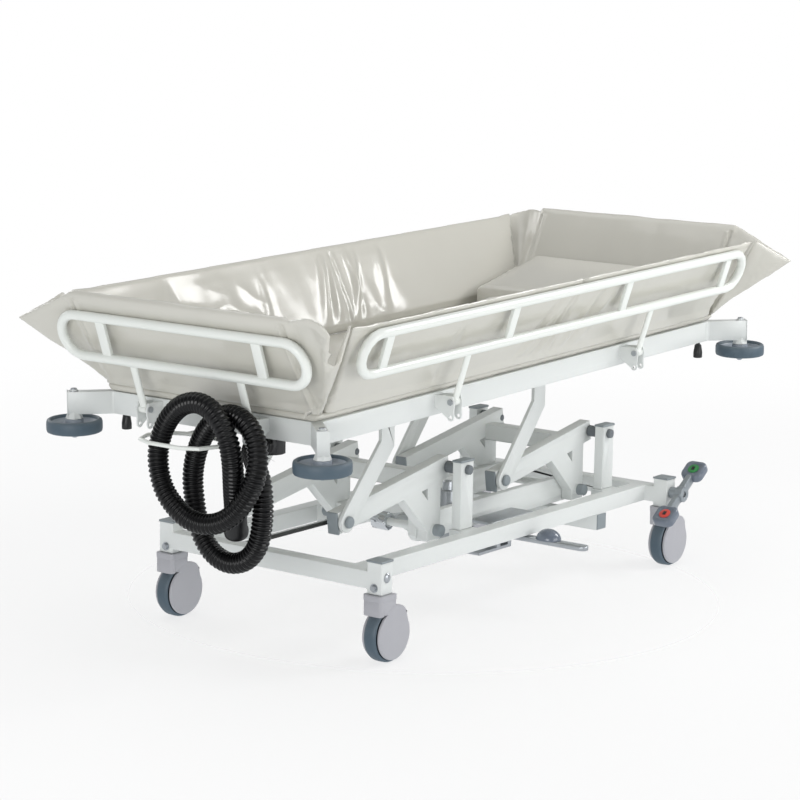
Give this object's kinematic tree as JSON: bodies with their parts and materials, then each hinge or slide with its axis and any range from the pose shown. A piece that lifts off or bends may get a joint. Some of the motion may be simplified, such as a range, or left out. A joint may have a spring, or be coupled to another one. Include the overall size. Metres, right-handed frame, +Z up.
{
  "type": "shower trolley",
  "caption": "Height-adjustable shower trolley: padded tub with fold-down guard rails on a foot-pumped lifting frame with swivel castors, linked brakes and a ribbed drain hose.",
  "frame": {"origin": "on the floor, under the middle of the trolley's own box without the hose and its cuff", "axes": "+X along the length towards the head end, +Y towards the far side, +Z up"},
  "size_m": [1.8986, 0.9418, 0.8501],
  "materials": {
    "frame_paint": "light grey-white powder coat, satin",
    "guard_white": "white powder coat, satin",
    "cap_grey": "moulded grey plastic",
    "polished_rod": "hard chromed, polished",
    "bare_steel": "zinc plated",
    "pedal_grey": "grey-blue plastic, slight gloss",
    "castor_grey": "light grey plastic",
    "wheel_tyre": "grey-blue non-marking tread",
    "black_plastic": "black plastic",
    "liner_vinyl": "grey-beige coated fabric over foam"
  },
  "bodies": {
    "base": {"base_frame": "frame_paint", "upright_left_near": "frame_paint", "upright_left_far": "frame_paint", "upright_right_near": "frame_paint", "upright_right_far": "frame_paint", "pivot_pin_left_near": "cap_grey", "pivot_pin_left_far": "cap_grey", "pivot_pin_right_near": "cap_grey", "pivot_pin_right_far": "cap_grey", "foot_pump": "bare_steel"},
    "lift_left": {"lift_arm_left": "frame_paint"},
    "lift_right": {"lift_arm_right": "frame_paint"},
    "crank_links": {"crank_link_near": "frame_paint", "crank_link_far": "frame_paint"},
    "ram_inner": {"ram_rod": "polished_rod"},
    "ram_outer": {"ram_cylinder": "frame_paint"},
    "brake_main": {"brake_shaft_head": "bare_steel", "brake_rocker": "pedal_grey", "brake_pad_on": "pedal_grey", "brake_pad_off": "pedal_grey"},
    "brake_second": {"brake_shaft_drain": "bare_steel"},
    "brake_tie": {"brake_tie_bar": "frame_paint"},
    "pedal": {"pump_lever": "bare_steel", "pump_pad": "pedal_grey"},
    "top": {"top_rail_near": "frame_paint", "top_rail_far": "frame_paint", "top_end_head": "frame_paint", "top_end_drain": "frame_paint", "hanger_frame_left": "frame_paint", "hanger_frame_right": "frame_paint", "liner_floor": "liner_vinyl", "liner_pillow": "liner_vinyl", "liner_end_drain": "liner_vinyl", "guard_rail_drain": "guard_white", "hose_holder": "guard_white", "drain_outlet": "black_plastic", "drain_hose": "black_plastic", "hose_cuff": "black_plastic"},
    "knob_near": {"pull_knob_near": "black_plastic"},
    "knob_far": {"pull_knob_far": "black_plastic"},
    "guard_near": {"guard_rail_near": "guard_white"},
    "guard_far": {"guard_rail_far": "guard_white"},
    "guard_head": {"guard_rail_head": "guard_white"},
    "wall_near": {"liner_wall_near": "liner_vinyl"},
    "wall_far": {"liner_wall_far": "liner_vinyl"},
    "wall_head": {"liner_end_head": "liner_vinyl"},
    "fork_drain_near": {"castor_fork_drain_near": "castor_grey"},
    "wheel_drain_near": {"castor_wheel_drain_near": "wheel_tyre"},
    "fork_drain_far": {"castor_fork_drain_far": "castor_grey"},
    "wheel_drain_far": {"castor_wheel_drain_far": "wheel_tyre"},
    "fork_head_near": {"castor_fork_head_near": "castor_grey"},
    "wheel_head_near": {"castor_wheel_head_near": "wheel_tyre"},
    "fork_head_far": {"castor_fork_head_far": "castor_grey"},
    "wheel_head_far": {"castor_wheel_head_far": "wheel_tyre"},
    "bumper_drain_near": {"bumper_wheel_drain_near": "wheel_tyre"},
    "bumper_drain_far": {"bumper_wheel_drain_far": "wheel_tyre"},
    "bumper_head_near": {"bumper_wheel_head_near": "wheel_tyre"},
    "bumper_head_far": {"bumper_wheel_head_far": "wheel_tyre"}
  },
  "joints": [
    {"name": "lift_left_pivot", "type": "hinge", "parent": "base", "child": "lift_left", "pos_m": [-0.11726, 0, 0.348], "axis": [0, 1, 0], "range_deg": [-6, 44]},
    {"name": "lift_right_pivot", "type": "hinge", "parent": "base", "child": "lift_right", "pos_m": [0.49474, 0, 0.348], "axis": [0, 1, 0], "range_deg": [-6, 44]},
    {"name": "crank_link_pivot", "type": "hinge", "parent": "lift_left", "child": "crank_links", "pos_m": [-0.16866, 0, 0.2061], "axis": [0, 1, 0], "range_deg": [-44, 6]},
    {"name": "top_pivot", "type": "hinge", "parent": "lift_left", "child": "top", "pos_m": [-0.50856, 0, 0.2826], "axis": [0, 1, 0], "range_deg": [-44, 6]},
    {"name": "ram_pivot", "type": "hinge", "parent": "lift_left", "child": "ram_inner", "pos_m": [-0.16866, 0, 0.2061], "axis": [0, 1, 0], "range_deg": [-38.5, 5.5]},
    {"name": "ram_slide", "type": "slide", "parent": "ram_inner", "child": "ram_outer", "axis": [0.9936, 0, -0.1134], "range_m": [-0.0137, 0.1]},
    {"name": "brake_pivot", "type": "hinge", "parent": "base", "child": "brake_main", "pos_m": [0.61494, 0, 0.194], "axis": [0, 1, 0], "range_deg": [0, 70]},
    {"name": "brake_second_pivot", "type": "hinge", "parent": "base", "child": "brake_second", "pos_m": [-0.57506, 0, 0.194], "axis": [0, 1, 0], "range_deg": [0, 70]},
    {"name": "brake_tie_pivot", "type": "hinge", "parent": "brake_main", "child": "brake_tie", "pos_m": [0.62526, 0.162, 0.17925], "axis": [0, 1, 0], "range_deg": [-70, 0]},
    {"name": "pedal_pivot", "type": "hinge", "parent": "base", "child": "pedal", "pos_m": [0.07994, -0.165, 0.1575], "axis": [1, 0, 0], "range_deg": [0, 18], "stiffness_Nm_per_rad": 6, "springref_deg": -28.65},
    {"name": "fork_drain_near_swivel", "type": "hinge", "parent": "base", "child": "fork_drain_near", "pos_m": [-0.57506, -0.301, 0.157], "axis": [0, 0, 1], "continuous": true},
    {"name": "wheel_drain_near_spin", "type": "hinge", "parent": "fork_drain_near", "child": "wheel_drain_near", "pos_m": [-0.54906, -0.301, 0.0623], "axis": [0, 1, 0], "continuous": true},
    {"name": "fork_drain_far_swivel", "type": "hinge", "parent": "base", "child": "fork_drain_far", "pos_m": [-0.57506, 0.301, 0.157], "axis": [0, 0, 1], "continuous": true},
    {"name": "wheel_drain_far_spin", "type": "hinge", "parent": "fork_drain_far", "child": "wheel_drain_far", "pos_m": [-0.54906, 0.301, 0.0623], "axis": [0, 1, 0], "continuous": true},
    {"name": "fork_head_near_swivel", "type": "hinge", "parent": "base", "child": "fork_head_near", "pos_m": [0.61494, -0.301, 0.157], "axis": [0, 0, 1], "continuous": true},
    {"name": "wheel_head_near_spin", "type": "hinge", "parent": "fork_head_near", "child": "wheel_head_near", "pos_m": [0.64094, -0.301, 0.0623], "axis": [0, 1, 0], "continuous": true},
    {"name": "fork_head_far_swivel", "type": "hinge", "parent": "base", "child": "fork_head_far", "pos_m": [0.61494, 0.301, 0.157], "axis": [0, 0, 1], "continuous": true},
    {"name": "wheel_head_far_spin", "type": "hinge", "parent": "fork_head_far", "child": "wheel_head_far", "pos_m": [0.64094, 0.301, 0.0623], "axis": [0, 1, 0], "continuous": true},
    {"name": "bumper_drain_near_spin", "type": "hinge", "parent": "top", "child": "bumper_drain_near", "pos_m": [-0.84251, -0.3505, 0.48352], "axis": [-0.0288, 0, 0.9996], "continuous": true},
    {"name": "bumper_drain_far_spin", "type": "hinge", "parent": "top", "child": "bumper_drain_far", "pos_m": [-0.84251, 0.3505, 0.48352], "axis": [-0.0288, 0, 0.9996], "continuous": true},
    {"name": "bumper_head_near_spin", "type": "hinge", "parent": "top", "child": "bumper_head_near", "pos_m": [0.88677, -0.3505, 0.53334], "axis": [-0.0288, 0, 0.9996], "continuous": true},
    {"name": "bumper_head_far_spin", "type": "hinge", "parent": "top", "child": "bumper_head_far", "pos_m": [0.88677, 0.3505, 0.53334], "axis": [-0.0288, 0, 0.9996], "continuous": true},
    {"name": "knob_near_pull", "type": "slide", "parent": "top", "child": "knob_near", "axis": [0.0288, 0, -0.9996], "range_m": [0, 0.008], "stiffness_N_per_m": 800, "springref_m": -0.006},
    {"name": "knob_far_pull", "type": "slide", "parent": "top", "child": "knob_far", "axis": [0.0288, 0, -0.9996], "range_m": [0, 0.008], "stiffness_N_per_m": 800, "springref_m": -0.006},
    {"name": "guard_near_pivot", "type": "hinge", "parent": "top", "child": "guard_near", "pos_m": [0.02043, -0.338, 0.56741], "axis": [0.9996, 0, 0.0288], "range_deg": [0, 155]},
    {"name": "guard_far_pivot", "type": "hinge", "parent": "top", "child": "guard_far", "pos_m": [0.02043, 0.338, 0.56741], "axis": [-0.9996, 0, -0.0288], "range_deg": [0, 155]},
    {"name": "guard_head_pivot", "type": "hinge", "parent": "top", "child": "guard_head", "pos_m": [0.87408, 0, 0.592], "axis": [0, 1, 0], "range_deg": [0, 155]},
    {"name": "wall_near_fold", "type": "hinge", "parent": "top", "child": "wall_near", "pos_m": [0.01935, -0.297, 0.60499], "axis": [0.9996, 0, 0.0288], "range_deg": [0, 61.5]},
    {"name": "wall_far_fold", "type": "hinge", "parent": "top", "child": "wall_far", "pos_m": [0.01935, 0.297, 0.60499], "axis": [-0.9996, 0, -0.0288], "range_deg": [0, 61.5]},
    {"name": "wall_head_fold", "type": "hinge", "parent": "top", "child": "wall_head", "pos_m": [0.83101, 0, 0.62837], "axis": [0, 1, 0], "range_deg": [0, 61.5]}
  ],
  "couplings": [
    {"joint": "lift_right_pivot", "follows": "lift_left_pivot", "ratio": 1},
    {"joint": "crank_link_pivot", "follows": "lift_left_pivot", "ratio": -1},
    {"joint": "top_pivot", "follows": "lift_left_pivot", "ratio": -1},
    {"joint": "ram_pivot", "follows": "lift_left_pivot", "ratio": -0.87},
    {"joint": "ram_slide", "follows": "lift_left_pivot", "m_per_rad": 0.12953},
    {"joint": "brake_second_pivot", "follows": "brake_pivot", "ratio": 1},
    {"joint": "brake_tie_pivot", "follows": "brake_pivot", "ratio": -1},
    {"joint": "wall_near_fold", "follows": "guard_near_pivot", "ratio": 0.394},
    {"joint": "wall_far_fold", "follows": "guard_far_pivot", "ratio": 0.394},
    {"joint": "wall_head_fold", "follows": "guard_head_pivot", "ratio": 0.394}
  ]
}
